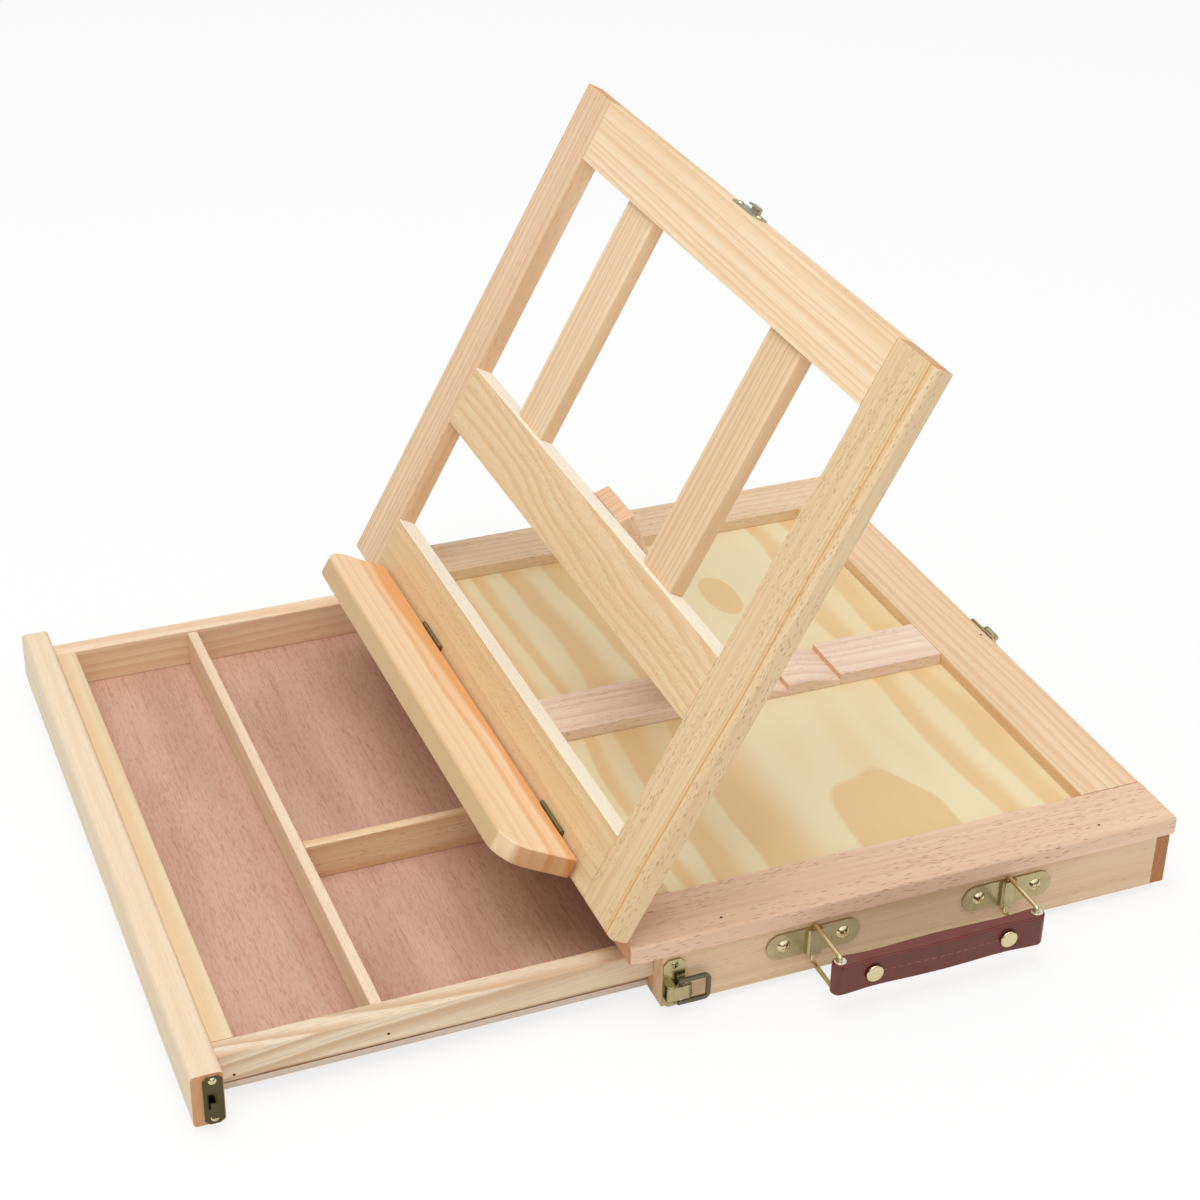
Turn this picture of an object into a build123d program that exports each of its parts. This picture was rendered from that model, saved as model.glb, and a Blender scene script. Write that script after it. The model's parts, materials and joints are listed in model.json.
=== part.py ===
from build123d import *
import math
import os

# All lengths are millimetres and all angles are degrees.
# X runs across the box, right side (the handle side) at +X.
# Y runs from the drawer front (-Y) to the back (+Y).
# Z runs up, with the bottoms of the feet at 0.

# Driving dimensions
box_width = 346
box_depth = 260
foot_height = 4
case_height = 26
cap_thickness = 9
rail_width = 30
easel_width = box_width
easel_length = box_depth + 3
easel_thickness = 9.2
easel_angle = 61.7
drawer_length = box_depth - 25.3
drawer_kept_in = 76.6
drawer_pulled_out = box_depth - drawer_kept_in

# Heights that follow from the driving dimensions
case_bottom = foot_height
case_top = case_bottom + case_height
cap_top = case_top + cap_thickness

# Case
cap_overhang = 1.5
case_wall = 9
back_wall = 7
case_half_width = box_width / 2 - cap_overhang
case_front = -box_depth / 2 + 15
case_back = box_depth / 2 - 1
runner_width = 5.5
runner_height = 9
foot_radius = 5
foot_inset = 8.5
foot_front = case_front + 18
foot_from_back = 31
foot_back = case_back - foot_from_back

# Cap frame, its panel and the ratchet bar
panel_thickness = 2.5
panel_lap = 6
bar_width = 30
bar_length = box_depth - 2 * rail_width
bar_top = cap_top - 0.4
notch_depth = 3.2
notch_run = 15
notch_spacing = [0, 21.6, 43.3, 70.9]

# Drawer
drawer_wall = 9.5
drawer_floor_thickness = 3
drawer_side_gap = 0.5
drawer_side_height = 19
drawer_side_bottom = case_bottom + drawer_floor_thickness
drawer_side_top = drawer_side_bottom + drawer_side_height
drawer_floor_gap = 0.5
divider_thickness = 5
divider_top = drawer_side_top - 1
front_tray_depth = 65.2
short_divider_from_right = 111
front_thickness = 13
front_setback = 2
front_height = 25
front_bottom = case_bottom - 0.5
front_top = front_bottom + front_height
lift_clearance = 0.3

# Easel frame, in its own plane: x across, y up the frame, z from its back to its front
stile_width = 30
bottom_rail_top = 31.4
middle_rail_bottom = 87.7
middle_rail_top = 118.6
top_rail_bottom = easel_length - rail_width
slat_width = 29
slat_middle = 75.2
slat_thickness = 7
stile_round = 2

# Butt hinges
leaf_thickness = 0.8
barrel_radius = 1.0
hinge_pin_radius = 0.5
pin_clearance = 0.05
leaf_standoff = 1.1
knuckle_gap = 0.1

# Where the hinges turn
easel_hinge_y = -box_depth / 2 - 0.95
easel_hinge_z = cap_top + leaf_standoff
easel_start = 1.8
easel_hinge_from_side = 68
easel_hinge_places = [
    side * (easel_width / 2 - easel_hinge_from_side) for side in (-1, 1)
]
prop_hinge_up = 117
ledge_hinge_up = 9.9
ledge_hinge_places = [-60, 98]

# Prop leg. Folded, it reaches almost to the top rail. In use its foot stands just over the bar.
prop_width = 30
prop_thickness = 8
prop_reach = top_rail_bottom - prop_hinge_up - 0.3
prop_start = middle_rail_top + 0.4 - prop_hinge_up
foot_bevel = 8
foot_clearance = 0.6
foot_depth = leaf_standoff + prop_thickness
up_the_frame = easel_start + prop_hinge_up
prop_hinge_y = easel_hinge_y + up_the_frame * math.cos(math.radians(easel_angle))
prop_hinge_z = easel_hinge_z + up_the_frame * math.sin(math.radians(easel_angle))
foot_fall = prop_hinge_z - bar_top - foot_clearance
prop_slope = math.asin(foot_fall / math.hypot(prop_reach, foot_depth)) + math.atan(foot_depth / prop_reach)
prop_angle = math.degrees(prop_slope)
foot_tip_y = prop_hinge_y + prop_reach * math.cos(prop_slope) + foot_depth * math.sin(prop_slope)
first_notch_wall = foot_tip_y + 0.4

# Ledge
ledge_end_gap = 42.5
ledge_length = easel_width - 2 * ledge_end_gap
ledge_depth = 35.6
ledge_bottom = 0.3
ledge_top = 9.5
ledge_corner = 14

# Draw latches
plate_length = 24
plate_width = 9.6
plate_thickness = 1
axle_rise = 3.7
lever_axle = -2.6
loop_axle = 1.8
axle_radius = 0.9
loop_pin_radius = 0.7
loop_reach = 12.5
loop_strip = 1.9
loop_thickness = 1.2
latch_middle = -3.0
latch_screw_spacing = 18.5
latch_y = case_front + 5
latch_z = case_bottom + 11.9
catch_offset = 9.8
catch_width = 8
catch_plate_thickness = 0.8
top_latch_x = 2
top_latch_z = cap_top - cap_thickness / 2

# Handle
handle_places = [-46.5, 46.5]
handle_plate_length = 43.5
handle_plate_height = 13
handle_screw_offset = 13.8
handle_z = case_bottom + 16.7
bridge_half = 3.6
wire_radius = 1
ring_low = case_bottom + 5.6
ring_high = case_bottom + 24.6
ring_corner = 1.2
ring_reach = 23.5
ring_axle_x = case_half_width + wire_radius + 0.15
grip_height = 16
grip_end_half = 3.4
grip_neck_half = 2.7
grip_middle_half = 3.1
tube_radius = 2.6
rivet_place = 31.7
rivet_radius = 4


def block(x0, x1, y0, y1, z0, z1):
    """A box between two corners."""
    middle = Pos((x0 + x1) / 2, (y0 + y1) / 2, (z0 + z1) / 2)
    return middle * Box(x1 - x0, y1 - y0, z1 - z0)


def rod(x, y, z0, z1, radius):
    """An upright round bar."""
    return Pos(x, y, (z0 + z1) / 2) * Cylinder(radius, z1 - z0)


def cross_rod(x0, x1, y, z, radius):
    """A round bar along X."""
    return Pos((x0 + x1) / 2, y, z) * Rot(0, 90, 0) * Cylinder(radius, x1 - x0)


def edges_at(shape, axis, **where):
    """Edges along an axis whose middle lies at the stated coordinates."""
    found = shape.edges().filter_by(axis)
    for name, value in where.items():
        found = ShapeList(
            [e for e in found if abs(getattr(e.center(), name) - value) < 0.01]
        )
    return found


def save(shape, name):
    """Write one named piece, or a group of alike pieces, to its own file."""
    shape.label = name
    export_step(shape, f"parts/{name}.step")


# Places: the easel frame's plane, and the prop leg's plane
easel_place = (
    Pos(0, easel_hinge_y, easel_hinge_z) * Rot(easel_angle, 0, 0)
    * Pos(0, easel_start, leaf_standoff)
)
prop_place = (
    easel_place * Pos(0, prop_hinge_up, -leaf_standoff) * Rot(-easel_angle - prop_angle, 0, 0)
)
latch_right = Pos(case_half_width, latch_y, latch_z)
latch_top = Plane(
    origin=(top_latch_x, box_depth / 2, top_latch_z), x_dir=(0, 1, 0), z_dir=(-1, 0, 0)
).location
catch_right = Pos(box_width / 2, latch_y - catch_offset - drawer_pulled_out, latch_z)
catch_top = easel_place * Plane(
    origin=(top_latch_x, easel_length, easel_thickness / 2), x_dir=(0, 1, 0), z_dir=(-1, 0, 0)
).location


def screw(head_radius, head_height, shank_radius, shank_length):
    """A dome-headed cross-slot screw. The head stands on the XY plane and the shank goes down."""
    ball = (head_radius**2 + head_height**2) / (2 * head_height)
    dome = Pos(0, 0, head_height - ball) * Sphere(ball)
    head = dome & block(-ball, ball, -ball, ball, 0, head_height)
    slot = Pos(0, 0, head_height) * Box(head_radius, 0.22 * head_radius, head_height)
    head = head - slot - Rot(0, 0, 90) * slot
    return head + rod(0, 0, -shank_length, 0, shank_radius)


def shank(shank_radius, shank_length):
    """The room that a screw's shank takes in the wood."""
    return rod(0, 0, -shank_length, 0, shank_radius)


# Screw sizes: head radius, head height, shank radius, shank length
plate_screw = (3.1, 1.7, 1.4, 8)
latch_screw = (1.7, 0.9, 0.8, 7)

handle_screw_places = [
    Pos(case_half_width + plate_thickness, y + side * handle_screw_offset, handle_z) * Rot(0, 90, 0)
    for y in handle_places
    for side in (-1, 1)
]
latch_screw_places = [
    Pos(plate_thickness, 0, side * latch_screw_spacing / 2) * Rot(0, 90, 0) for side in (-1, 1)
]
catch_screw_places = [
    Pos(catch_plate_thickness, 0, side * latch_screw_spacing / 2) * Rot(0, 90, 0)
    for side in (-1, 1)
]


def screws(places, sizes):
    """Alike screws as one group."""
    return Compound(children=[place * screw(*sizes) for place in places])


def drilled(wood, places, sizes):
    """A board with a pilot hole for each screw."""
    for place in places:
        wood = wood - place * shank(sizes[2], sizes[3])
    return wood


def mirrored(shape):
    """The same thing on the left side of the box."""
    return mirror(shape, about=Plane.YZ)


# Case
def make_case():
    inner = case_half_width - case_wall
    side = block(inner, case_half_width, case_front, case_back - back_wall, case_bottom, case_top)
    right = drilled(side, handle_screw_places, plate_screw)
    latch_holes = [latch_right * place for place in latch_screw_places]
    right = drilled(right, latch_holes, latch_screw)
    left = mirrored(drilled(side, latch_holes, latch_screw))
    save(right, "case_side_right")
    save(left, "case_side_left")
    back = block(
        -case_half_width, case_half_width, case_back - back_wall, case_back, case_bottom, case_top
    )
    save(back, "case_back")
    runner = block(
        inner - runner_width, inner, case_front, case_back - back_wall,
        case_bottom, case_bottom + runner_height,
    )
    runner = fillet(edges_at(runner, Axis.Y, X=inner - runner_width), 0.6)
    save(Compound(children=[runner, mirrored(runner)]), "drawer_runners")
    feet = []
    for x in (-case_half_width + foot_inset, case_half_width - foot_inset):
        for y in (foot_front, foot_back):
            foot = rod(x, y, 0, foot_height, foot_radius)
            feet.append(fillet(foot.edges().group_by(Axis.Z)[0], 1.5))
    save(Compound(children=feet), "feet")


# Cap frame: four rails round a plywood panel let in from below, with the ratchet bar on it
def make_cap():
    half_w = box_width / 2
    half_d = box_depth / 2
    inner_w = half_w - rail_width
    inner_d = half_d - rail_width
    panel = block(
        -inner_w - panel_lap, inner_w + panel_lap, -inner_d - panel_lap, inner_d + panel_lap,
        case_top, case_top + panel_thickness,
    )
    side = block(inner_w, half_w, -half_d, half_d, case_top, cap_top)
    side = fillet(edges_at(side, Axis.Y, X=half_w), 1.3)
    side = fillet(edges_at(side, Axis.Y, X=inner_w, Z=cap_top), 0.8)
    save(side - panel, "cap_rail_right")
    save(mirrored(side - panel), "cap_rail_left")
    back = block(-inner_w, inner_w, inner_d, half_d, case_top, cap_top)
    back = fillet(edges_at(back, Axis.X, Y=half_d), 1.3)
    back = fillet(edges_at(back, Axis.X, Y=inner_d, Z=cap_top), 0.8)
    front = mirror(back, about=Plane.XZ)
    back = drilled(back, [latch_top * place for place in latch_screw_places], latch_screw)
    save(back - panel, "cap_rail_back")
    save(front - panel, "cap_rail_front")
    save(panel, "cap_panel")
    bar_bottom = case_top + panel_thickness
    outline = [(-bar_length / 2, bar_bottom), (-bar_length / 2, bar_top)]
    for step in notch_spacing:
        wall = first_notch_wall + step
        outline += [(wall - notch_run, bar_top), (wall, bar_top - notch_depth), (wall, bar_top)]
    outline += [(bar_length / 2, bar_top), (bar_length / 2, bar_bottom)]
    side_view = Plane.YZ * make_face(Polyline(*outline, close=True))
    bar = Pos(-bar_width / 2, 0, 0) * extrude(side_view, amount=bar_width, dir=(1, 0, 0))
    save(bar, "ratchet_bar")


# Drawer: level, pulled out to the rest pose
def make_drawer():
    outer = case_half_width - case_wall - drawer_side_gap
    inner = outer - drawer_wall
    front_back = -box_depth / 2 + front_setback + front_thickness - drawer_pulled_out - lift_clearance
    back_end = front_back + drawer_length
    rebate = runner_width + drawer_side_gap
    side = block(inner, outer, front_back, back_end, drawer_side_bottom, drawer_side_top)
    side = side - block(
        outer - rebate, outer, front_back, back_end,
        drawer_side_bottom, case_bottom + runner_height + lift_clearance,
    )
    side = fillet(edges_at(side, Axis.Y, Z=drawer_side_top), 0.8)
    save(side, "drawer_side_right")
    save(mirrored(side), "drawer_side_left")
    floor = block(
        -outer + rebate - drawer_floor_gap, outer - rebate + drawer_floor_gap, front_back, back_end,
        case_bottom, case_bottom + drawer_floor_thickness,
    )
    save(floor, "drawer_bottom")
    inner_front = block(
        -inner, inner, front_back, front_back + drawer_wall, drawer_side_bottom, drawer_side_top
    )
    inner_front = fillet(edges_at(inner_front, Axis.X, Z=drawer_side_top), 0.8)
    save(inner_front, "drawer_inner_front")
    back = block(-inner, inner, back_end - drawer_wall, back_end, drawer_side_bottom, drawer_side_top)
    back = fillet(edges_at(back, Axis.X, Z=drawer_side_top), 0.8)
    save(back, "drawer_back")
    long_front = front_back + front_tray_depth
    long_back = long_front + divider_thickness
    long_divider = block(-inner, inner, long_front, long_back, drawer_side_bottom, divider_top)
    long_divider = fillet(edges_at(long_divider, Axis.X, Z=divider_top), 0.6)
    save(long_divider, "drawer_divider_long")
    short_right = inner - short_divider_from_right
    short_divider = block(
        short_right - divider_thickness, short_right, long_back, back_end - drawer_wall,
        drawer_side_bottom, divider_top,
    )
    short_divider = fillet(edges_at(short_divider, Axis.Y, Z=divider_top), 0.6)
    save(short_divider, "drawer_divider_short")
    half = box_width / 2
    front = block(-half, half, front_back - front_thickness, front_back, front_bottom, front_top)
    front = fillet(front.edges().filter_by(Axis.X), 2)
    holes = [catch_right * place for place in catch_screw_places]
    front = drilled(front, holes, latch_screw)
    front = mirrored(drilled(mirrored(front), holes, latch_screw))
    save(front, "drawer_false_front")


# Easel frame
def make_easel():
    half = easel_width / 2
    inner = half - stile_width
    thick = easel_thickness
    stile = block(inner, half, 0, easel_length, 0, thick)
    stile = fillet(edges_at(stile, Axis.Y, X=half), stile_round)
    save(easel_place * stile, "easel_stile_right")
    save(easel_place * mirrored(stile), "easel_stile_left")
    top = block(-inner, inner, top_rail_bottom, easel_length, 0, thick)
    top = drilled(easel_place * top, [catch_top * place for place in catch_screw_places], latch_screw)
    save(top, "easel_rail_top")
    middle = block(-inner, inner, middle_rail_bottom, middle_rail_top, 0, thick)
    save(easel_place * middle, "easel_rail_middle")
    bottom = block(-inner, inner, 0, bottom_rail_top, 0, thick)
    save(easel_place * bottom, "easel_rail_bottom")
    slat = block(
        slat_middle - slat_width / 2, slat_middle + slat_width / 2,
        middle_rail_top, top_rail_bottom, 0, slat_thickness,
    )
    slat = fillet(edges_at(slat, Axis.Y, Z=slat_thickness), 1)
    save(easel_place * slat, "easel_slat_right")
    save(easel_place * mirrored(slat), "easel_slat_left")


# Butt hinge: the axis is X. A leaf goes off along +Y with its wood side at -leaf_standoff.
def hinge_leaf(leaf_width, leaf_reach, outer_knuckles):
    third = leaf_width / 3
    leaf = block(
        -leaf_width / 2, leaf_width / 2, 0, leaf_reach,
        -leaf_standoff, -leaf_standoff + leaf_thickness,
    )
    if outer_knuckles:
        spans = [(-leaf_width / 2, -third / 2), (third / 2, leaf_width / 2)]
        cleared = [(-third / 2 - knuckle_gap, third / 2 + knuckle_gap)]
        bore = hinge_pin_radius
    else:
        spans = [(-third / 2 + knuckle_gap, third / 2 - knuckle_gap)]
        cleared = [(-leaf_width / 2, -third / 2 + knuckle_gap), (third / 2 - knuckle_gap, leaf_width / 2)]
        bore = hinge_pin_radius + pin_clearance
    room = barrel_radius + 0.25
    for x0, x1 in cleared:
        leaf = leaf - block(x0, x1, 0, room, -leaf_standoff, 0)
    for x0, x1 in spans:
        leaf = leaf + cross_rod(x0, x1, 0, 0, barrel_radius)
        leaf = leaf + block(x0, x1, 0, room, -barrel_radius, -leaf_standoff + leaf_thickness)
    return leaf - cross_rod(-leaf_width / 2, leaf_width / 2, 0, 0, bore)


def hinge_pin(leaf_width):
    return cross_rod(-leaf_width / 2, leaf_width / 2, 0, 0, hinge_pin_radius)


def turned_over(leaf):
    """A leaf with its wood side at +leaf_standoff."""
    return mirror(leaf, about=Plane.XY)


def make_hinges():
    wide = 30
    case_axis = Pos(0, easel_hinge_y, easel_hinge_z)
    case_leaf = case_axis * hinge_leaf(wide, 14, True)
    case_pin = case_axis * hinge_pin(wide)
    frame_axis = easel_place * Pos(0, -easel_start, -leaf_standoff)
    frame_leaf = turned_over(hinge_leaf(wide, 14, False))
    spots = [Pos(x, 0, 0) for x in easel_hinge_places]
    save(Compound(children=[p * case_leaf for p in spots]), "easel_hinge_leaves_case")
    save(Compound(children=[p * case_pin for p in spots]), "easel_hinge_pins")
    save(Compound(children=[frame_axis * p * frame_leaf for p in spots]), "easel_hinge_leaves_frame")

    small = 24
    ledge_axis = easel_place * Pos(0, ledge_hinge_up, easel_thickness + leaf_standoff)
    down = Rot(180, 0, 0)
    on_frame = down * turned_over(hinge_leaf(small, 8.6, True))
    on_ledge = down * hinge_leaf(small, 8.6, False)
    spots = [ledge_axis * Pos(x, 0, 0) for x in ledge_hinge_places]
    save(Compound(children=[p * on_frame for p in spots]), "ledge_hinge_leaves_frame")
    save(Compound(children=[p * on_ledge for p in spots]), "ledge_hinge_leaves_ledge")

    prop_axis = easel_place * Pos(0, prop_hinge_up, -leaf_standoff)
    on_rail = prop_axis * Rot(180, 0, 0) * hinge_leaf(small, 14, True)
    save(on_rail, "prop_hinge_leaf_rail")
    save(prop_place * turned_over(hinge_leaf(small, 14, False)), "prop_hinge_leaf_leg")
    pins = [p * hinge_pin(small) for p in spots + [prop_axis]]
    save(Compound(children=pins), "small_hinge_pins")


# Prop leg: in its plane y runs from the hinge to the foot and z from its front face to its back
def make_prop():
    half = prop_width / 2
    face = leaf_standoff
    outline = [
        (prop_start, face),
        (prop_reach - foot_bevel, face),
        (prop_reach, face + prop_thickness),
        (prop_start, face + prop_thickness),
    ]
    side_view = Plane.YZ * make_face(Polyline(*outline, close=True))
    leg = Pos(-half, 0, 0) * extrude(side_view, amount=prop_width, dir=(1, 0, 0))
    save(prop_place * leg, "prop_leg")


# Ledge that holds the canvas, with rounded outer corners
def make_ledge():
    half = ledge_length / 2
    near = easel_thickness + 2 * leaf_standoff
    far = near + ledge_depth
    ledge = block(-half, half, ledge_bottom, ledge_top, near, far)
    corners = ledge.edges().filter_by(Axis.Y).group_by(Axis.Z)[-1]
    ledge = fillet(corners, ledge_corner)
    ledge = fillet(ledge.faces().sort_by(Axis.Y)[-1].edges().filter_by(Axis.X).sort_by(Axis.Z)[-1], 1)
    save(easel_place * ledge, "canvas_ledge")


# Draw latch. Local x stands off the surface, y points away from the catch and z along the plate.
def latch_base():
    base = block(
        0, plate_thickness, -plate_width / 2, plate_width / 2, -plate_length / 2, plate_length / 2
    )
    base = chamfer(base.edges().filter_by(Axis.X), 2.2)
    top = latch_middle + 4.6
    low = latch_middle - 4.6
    for z0 in (low, top - 1):
        ear = block(0, axle_rise, lever_axle - 1.6, lever_axle + 1.6, z0, z0 + 1)
        base = base + ear + rod(axle_rise, lever_axle, z0, z0 + 1, 1.6)
    base = base - rod(axle_rise, lever_axle, low, top, axle_radius)
    for place in latch_screw_places:
        base = base - place * shank(latch_screw[2], latch_screw[3])
    return base


def latch_axle():
    return rod(axle_rise, lever_axle, latch_middle - 4.9, latch_middle + 4.9, axle_radius)


def latch_lever():
    half = 3.4
    low = latch_middle - half
    high = latch_middle + half
    barrel = rod(axle_rise, lever_axle, low, high, 1.6)
    boss = rod(axle_rise, loop_axle, low, high, 1.45)
    web = block(axle_rise - 0.2, axle_rise + 1.2, lever_axle, 5.4, low, high)
    lip = Pos(axle_rise + 1.2, 5.4, 0) * Rot(0, 0, 35)
    tab = lip * block(-1.4, 0, -0.4, 1.8, low, high)
    lever = barrel + boss + web + tab
    lever = lever - rod(axle_rise, lever_axle, low, high, axle_radius + pin_clearance)
    return lever - rod(axle_rise, loop_axle, low, high, loop_pin_radius + pin_clearance)


def latch_loop():
    half = 6.6
    low = latch_middle - half
    high = latch_middle + half
    far = loop_axle + loop_reach + loop_strip / 2
    back = axle_rise - loop_thickness / 2
    front = axle_rise + loop_thickness / 2
    strip = block(back, front, loop_axle - 1.1, far, low, high)
    strip = fillet(strip.edges().filter_by(Axis.X).group_by(Axis.Y)[-1], 3)
    strip = strip - block(
        back, front, loop_axle - 1.1, far - loop_strip, low + loop_strip, high - loop_strip
    )
    pins = [
        rod(axle_rise, loop_axle, low + loop_strip, low + loop_strip + 2.6, loop_pin_radius),
        rod(axle_rise, loop_axle, high - loop_strip - 2.6, high - loop_strip, loop_pin_radius),
    ]
    return strip + pins[0] + pins[1]


def catch(rise):
    """Catch plate with a hook. The loop's bar lies at the stated rise, on the -y side of the hook."""
    half = catch_width / 2
    base = block(0, catch_plate_thickness, -half, half, -plate_length / 2, plate_length / 2)
    base = chamfer(base.edges().filter_by(Axis.X), 2)
    low = latch_middle - 3.6
    high = latch_middle + 3.6
    stem = block(0, rise + 1.8, 0.5, 1.7, low, high)
    cover = block(rise + 1.0, rise + 1.8, -1.8, 1.7, low, high)
    base = base + stem + cover
    for place in catch_screw_places:
        base = base - place * shank(latch_screw[2], latch_screw[3])
    return base


def make_latches():
    pieces = {"plate": latch_base(), "lever": latch_lever(), "loop": latch_loop()}
    for name, piece in pieces.items():
        save(latch_right * piece, f"latch_right_{name}")
        save(mirrored(latch_right * piece), f"latch_left_{name}")
        save(latch_top * piece, f"latch_top_{name}")
    pin = latch_right * latch_axle()
    save(Compound(children=[pin, mirrored(pin)]), "latch_side_pins")
    save(latch_top * latch_axle(), "latch_top_pin")
    base_screws = screws(latch_screw_places, latch_screw)
    catch_screws = screws(catch_screw_places, latch_screw)
    side_screws = latch_right * base_screws
    on_case = [side_screws, mirrored(side_screws), latch_top * base_screws]
    save(Compound(children=on_case), "latch_screws_case")
    side_catch = catch_right * catch(axle_rise - cap_overhang)
    save(Compound(children=[side_catch, mirrored(side_catch)]), "catch_plates_drawer")
    save(catch_top * catch(axle_rise - cap_overhang), "catch_plate_easel")
    side_screws = catch_right * catch_screws
    save(Compound(children=[side_screws, mirrored(side_screws)]), "catch_screws_drawer")
    save(catch_top * catch_screws, "catch_screws_easel")


# Handle
def handle_plate(y):
    """A rounded strap plate with a raised bridge that holds the wire ring's upright bar."""
    half = handle_plate_height / 2
    flat = SlotOverall(handle_plate_length, handle_plate_height)
    plate = Pos(case_half_width, y, handle_z) * Rot(0, 90, 0) * Rot(0, 0, 90) * extrude(
        flat, amount=plate_thickness
    )
    bridge = block(
        case_half_width, ring_axle_x + wire_radius + 1.1, y - bridge_half, y + bridge_half,
        handle_z - half, handle_z + half,
    )
    bridge = fillet(bridge.edges().filter_by(Axis.Z).group_by(Axis.X)[-1], 1.4)
    plate = plate + bridge
    channel = wire_radius + 0.08
    plate = plate - rod(ring_axle_x, y, handle_z - half, handle_z + half, channel)
    plate = plate - block(
        case_half_width, ring_axle_x, y - channel, y + channel, handle_z - half, handle_z + half
    )
    for place in handle_screw_places:
        plate = plate - place * shank(plate_screw[2], plate_screw[3])
    return plate


def handle_ring(y):
    """A wire bent into a rectangle: one upright bar in the bridge and one in the grip's tube."""
    inner_x = ring_axle_x
    outer_x = ring_axle_x + ring_reach
    loop = Polyline((inner_x, y, ring_low), (outer_x, y, ring_low), (outer_x, y, ring_high),
                    (inner_x, y, ring_high), close=True)
    path = fillet(loop.vertices(), ring_corner)
    start = Plane(path @ 0, z_dir=path % 0)
    return sweep(start * Circle(wire_radius), path=path)


def make_handle():
    plates = [handle_plate(y) for y in handle_places]
    save(Compound(children=plates), "handle_plates")
    save(screws(handle_screw_places, plate_screw), "handle_screws")
    save(handle_ring(handle_places[0]), "handle_ring_front")
    save(handle_ring(handle_places[1]), "handle_ring_back")
    x = ring_axle_x + ring_reach
    end = handle_places[1]
    middle = (ring_low + ring_high) / 2
    half = grip_height / 2
    outline = Spline(
        (grip_end_half, end), (grip_neck_half, end - 12), (grip_middle_half, 14),
        (grip_middle_half, -14), (grip_neck_half, -end + 12), (grip_end_half, -end),
        tangents=[(0, -1), (0, -1)],
    )
    other_side = mirror(outline, about=Plane.YZ)
    ends = [
        ThreePointArc((grip_end_half, y), (0, y + side * grip_end_half), (-grip_end_half, y))
        for y, side in ((-end, -1), (end, 1))
    ]
    plan = make_face(
        outline.edges() + other_side.edges() + ends[0].edges() + ends[1].edges()
    )
    grip = Pos(x, 0, middle - half) * extrude(plan, amount=grip_height)
    grip = fillet(grip.edges().group_by(Axis.Z)[0] + grip.edges().group_by(Axis.Z)[-1], 1.2)
    tubes = []
    for y in handle_places:
        room = rod(x, y, middle - half, middle + half, tube_radius)
        grip = grip - room
        bore = rod(x, y, middle - half, middle + half, wire_radius + 0.08)
        tubes.append(room - bore)
    rivets = []
    for y in (-rivet_place, rivet_place):
        across = Pos(x, y, middle) * Rot(0, 90, 0)
        stem = across * Cylinder(1.5, 2 * grip_neck_half + 2.4)
        seat = grip_neck_half + 0.75
        head = Cylinder(rivet_radius, 0.9)
        head = fillet(head.edges().group_by(Axis.Z)[-1], 0.7)
        outer = across * Pos(0, 0, seat + 0.45) * head
        inner = across * Rot(180, 0, 0) * Pos(0, 0, seat + 0.45) * head
        grip = grip - across * Cylinder(1.5, 20)
        grip = grip - across * Pos(0, 0, seat + 2) * Cylinder(rivet_radius, 4)
        grip = grip - across * Pos(0, 0, -seat - 2) * Cylinder(rivet_radius, 4)
        rivets.append(stem + outer + inner)
    save(grip, "handle_grip")
    save(Compound(children=tubes), "handle_grip_tubes")
    save(Compound(children=rivets), "handle_grip_rivets")


os.makedirs("parts", exist_ok=True)
make_case()
make_cap()
make_drawer()
make_easel()
make_hinges()
make_prop()
make_ledge()
make_latches()
make_handle()
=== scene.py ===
import json
import math

import bmesh
import bpy
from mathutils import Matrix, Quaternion, Vector


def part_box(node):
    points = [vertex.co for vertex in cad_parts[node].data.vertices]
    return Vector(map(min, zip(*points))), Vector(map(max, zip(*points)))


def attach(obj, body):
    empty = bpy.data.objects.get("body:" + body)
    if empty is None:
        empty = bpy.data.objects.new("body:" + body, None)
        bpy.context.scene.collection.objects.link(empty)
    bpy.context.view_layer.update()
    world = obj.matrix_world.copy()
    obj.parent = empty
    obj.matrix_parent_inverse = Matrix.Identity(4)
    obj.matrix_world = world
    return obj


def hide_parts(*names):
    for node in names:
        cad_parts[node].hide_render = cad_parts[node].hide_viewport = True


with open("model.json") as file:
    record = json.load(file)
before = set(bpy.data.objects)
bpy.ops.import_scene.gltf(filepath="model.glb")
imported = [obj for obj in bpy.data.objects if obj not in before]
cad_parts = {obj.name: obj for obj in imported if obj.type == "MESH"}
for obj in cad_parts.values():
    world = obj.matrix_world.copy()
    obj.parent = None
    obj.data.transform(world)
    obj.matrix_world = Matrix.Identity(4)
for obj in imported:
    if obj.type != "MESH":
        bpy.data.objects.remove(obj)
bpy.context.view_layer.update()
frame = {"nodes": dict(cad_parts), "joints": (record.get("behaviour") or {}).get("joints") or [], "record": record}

# Sides and back of the case.
# Planed pine boards, 9 mm and 7 mm thick, glued and nailed. The back board runs across behind
# the sides, so its end grain shows at both corners. Two thin runners inside carry the drawer.
right = Vector((1, 0, 0))
backward = Vector((0, 1, 0))
upward = Vector((0, 0, 1))
nodes = frame["nodes"]
body_of_node = {
    node: body
    for body, members in frame["record"]["behaviour"]["bodies"].items()
    for node in members
}


def colour(code):
    """A linear colour from an sRGB hex value."""
    parts = [int(code[i:i + 2], 16) / 255 for i in (1, 3, 5)]
    return [p / 12.92 if p <= 0.04045 else ((p + 0.055) / 1.055) ** 2.4 for p in parts] + [1.0]


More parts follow.
